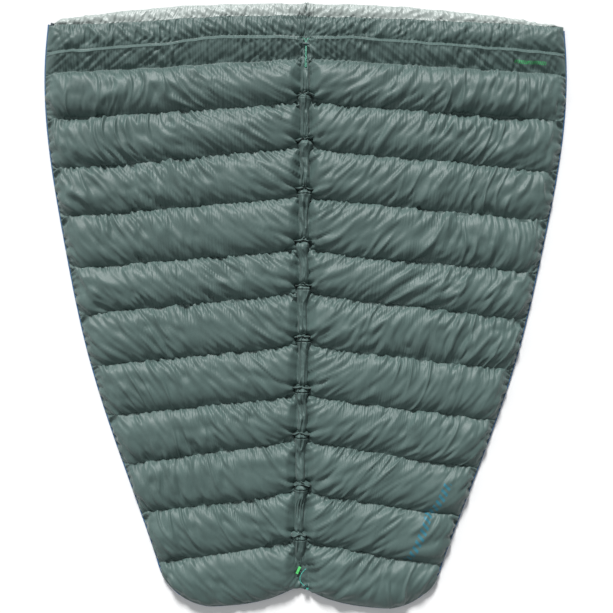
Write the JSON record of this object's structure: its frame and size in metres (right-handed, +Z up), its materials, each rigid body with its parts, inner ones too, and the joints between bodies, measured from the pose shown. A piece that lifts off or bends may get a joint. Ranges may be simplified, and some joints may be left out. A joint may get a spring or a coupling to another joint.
{
  "type": "camp quilt",
  "caption": "Tapered two-person camp quilt lying flat: chevron down baffles either side of a gathered centre line, drawcords with small locks at neck and foot.",
  "frame": {"origin": "on the ground, under the middle of the quilt's box", "axes": "+Z up from the lining to the shell, +Y towards the head, +X to the right of a viewer above the quilt"},
  "size_m": [1.7124, 1.9796, 0.05],
  "materials": {
    "shell_nylon": "satin sage-green down-proof nylon, fine weave",
    "lining_nylon": "pale silver-green down-proof nylon with a soft shimmer",
    "down": "loose white down clusters",
    "mesh_wall": "fine white mesh",
    "edge_binding": "navy grosgrain binding tape",
    "drawcord": "braided green elastic cord",
    "lock_plastic": "satin moulded plastic",
    "spring_steel": "drawn spring wire",
    "green_tab": "bright green woven tape, glossy at the fold",
    "elastic_tape": "woven elastic tape"
  },
  "bodies": {
    "right_half": {"baffle_walls_right": "mesh_wall", "centre_elastic": "elastic_tape", "centre_gather": "shell_nylon", "centre_lining": "lining_nylon", "collar_fill_right": "down", "collar_shell_right": "shell_nylon", "down_fill_01_right": "down", "down_fill_02_right": "down", "down_fill_03_right": "down", "down_fill_04_right": "down", "down_fill_05_right": "down", "down_fill_06_right": "down", "down_fill_07_right": "down", "down_fill_08_right": "down", "down_fill_09_right": "down", "down_fill_10_right": "down", "down_fill_11_right": "down", "foot_cord": "drawcord", "foot_cord_knot": "drawcord", "foot_hem_cord_right": "drawcord", "foot_hem_right": "edge_binding", "foot_pull_tab": "green_tab", "lining_lip_right": "lining_nylon", "lining_right": "lining_nylon", "neck_channel_cord_right": "drawcord", "neck_channel_right": "shell_nylon", "neck_cord_knot": "drawcord", "neck_cord_left": "drawcord", "neck_cord_right": "drawcord", "shell_right": "shell_nylon", "side_binding_right": "edge_binding"},
    "left_half": {"baffle_walls_left": "mesh_wall", "collar_fill_left": "down", "collar_shell_left": "shell_nylon", "corner_tab_left": "edge_binding", "down_fill_01_left": "down", "down_fill_02_left": "down", "down_fill_03_left": "down", "down_fill_04_left": "down", "down_fill_05_left": "down", "down_fill_06_left": "down", "down_fill_07_left": "down", "down_fill_08_left": "down", "down_fill_09_left": "down", "down_fill_10_left": "down", "down_fill_11_left": "down", "foot_hem_cord_left": "drawcord", "foot_hem_left": "edge_binding", "lining_left": "lining_nylon", "lining_lip_left": "lining_nylon", "neck_channel_cord_left": "drawcord", "neck_channel_left": "shell_nylon", "shell_left": "shell_nylon", "side_binding_left": "edge_binding"},
    "neck_lock": {"neck_lock_body": "lock_plastic", "neck_lock_spring": "spring_steel"},
    "neck_button": {"neck_lock_button": "lock_plastic"},
    "foot_lock": {"foot_lock_body": "lock_plastic", "foot_lock_spring": "spring_steel"},
    "foot_button": {"foot_lock_button": "lock_plastic"}
  },
  "joints": [
    {"name": "centre_fold", "type": "hinge", "parent": "right_half", "child": "left_half", "pos_m": [0, 0, 0.062], "axis": [0, 1, 0], "range_deg": [0, 179]},
    {"name": "neck_lock_slide", "type": "slide", "parent": "right_half", "child": "neck_lock", "axis": [0, -1, 0], "range_m": [0, 0.022]},
    {"name": "neck_button_press", "type": "slide", "parent": "neck_lock", "child": "neck_button", "axis": [-1, 0, 0], "range_m": [0, 0.003], "stiffness_N_per_m": 500, "deforming": ["neck_lock_spring"]},
    {"name": "foot_lock_slide", "type": "slide", "parent": "right_half", "child": "foot_lock", "axis": [-0.7607, 0.6466, 0.0571], "range_m": [0, 0.008]},
    {"name": "foot_button_press", "type": "slide", "parent": "foot_lock", "child": "foot_button", "axis": [-0.6476, -0.7619, 0], "range_m": [0, 0.003], "stiffness_N_per_m": 500, "deforming": ["foot_lock_spring"]}
  ]
}
